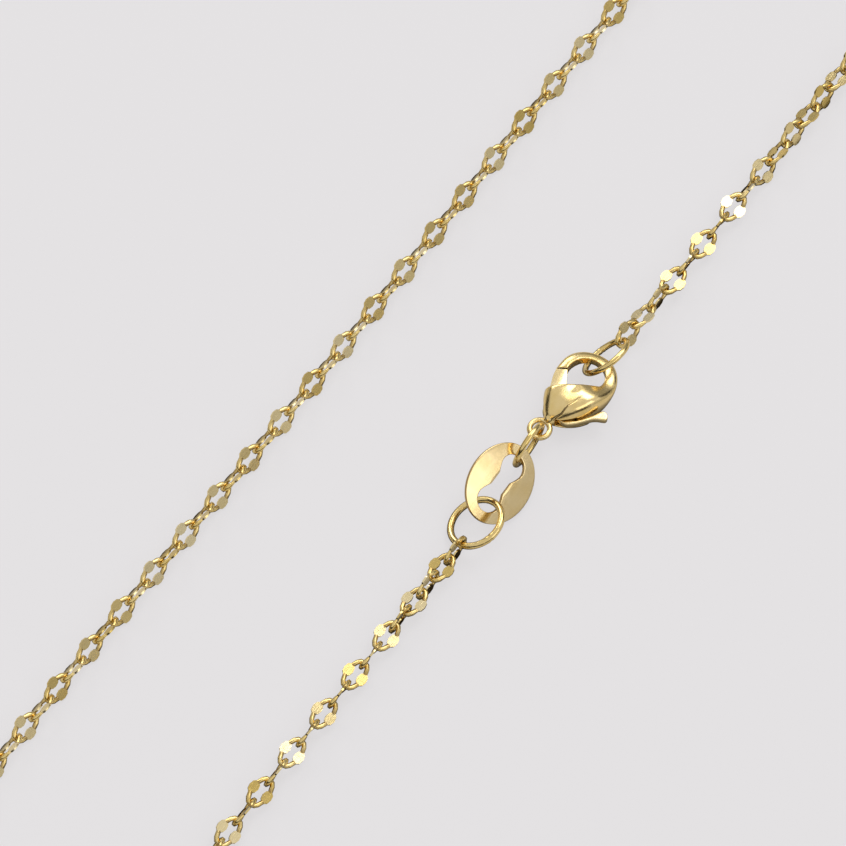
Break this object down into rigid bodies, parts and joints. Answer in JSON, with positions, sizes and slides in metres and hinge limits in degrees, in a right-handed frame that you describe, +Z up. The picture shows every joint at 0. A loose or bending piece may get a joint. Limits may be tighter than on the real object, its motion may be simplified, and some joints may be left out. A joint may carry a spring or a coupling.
{
  "type": "mirror chain necklace",
  "caption": "Closed neck chain of alternately turned wire links with flat mirror pads, joined by round rings, a pierced oval tag and a lobster clasp, laid flat.",
  "frame": {"origin": "on the table under the middle of the flat loop, midway between its two rows", "axes": "+X along the rows, towards the end ring that the clasp hooks on to; the clasp row lies at negative Y and the plain row at positive Y; +Z up from the table"},
  "size_m": [0.2032, 0.0188, 0.0036],
  "materials": {
    "link_gold": "polished yellow gold wire with mirror-flat pads",
    "clasp_gold": "polished yellow gold casting",
    "lever_gold": "bright polished pale yellow gold",
    "ring_gold": "polished yellow gold wire",
    "tag_gold": "polished yellow gold sheet"
  },
  "bodies": {
    "necklace": {"chain_first_half": "link_gold", "chain_second_half": "link_gold", "clasp_body": "clasp_gold", "clasp_pin": "clasp_gold", "connector_ring": "ring_gold", "tag": "tag_gold", "jump_ring": "ring_gold", "end_ring": "ring_gold"},
    "clasp_lever": {"clasp_lever": "lever_gold"}
  },
  "joints": [
    {"name": "lever_turn", "type": "hinge", "parent": "necklace", "child": "clasp_lever", "pos_m": [0.00569, -0.00734, 0.0013], "axis": [0, 0, 1], "range_deg": [-18, 0], "stiffness_Nm_per_rad": 0.004}
  ]
}
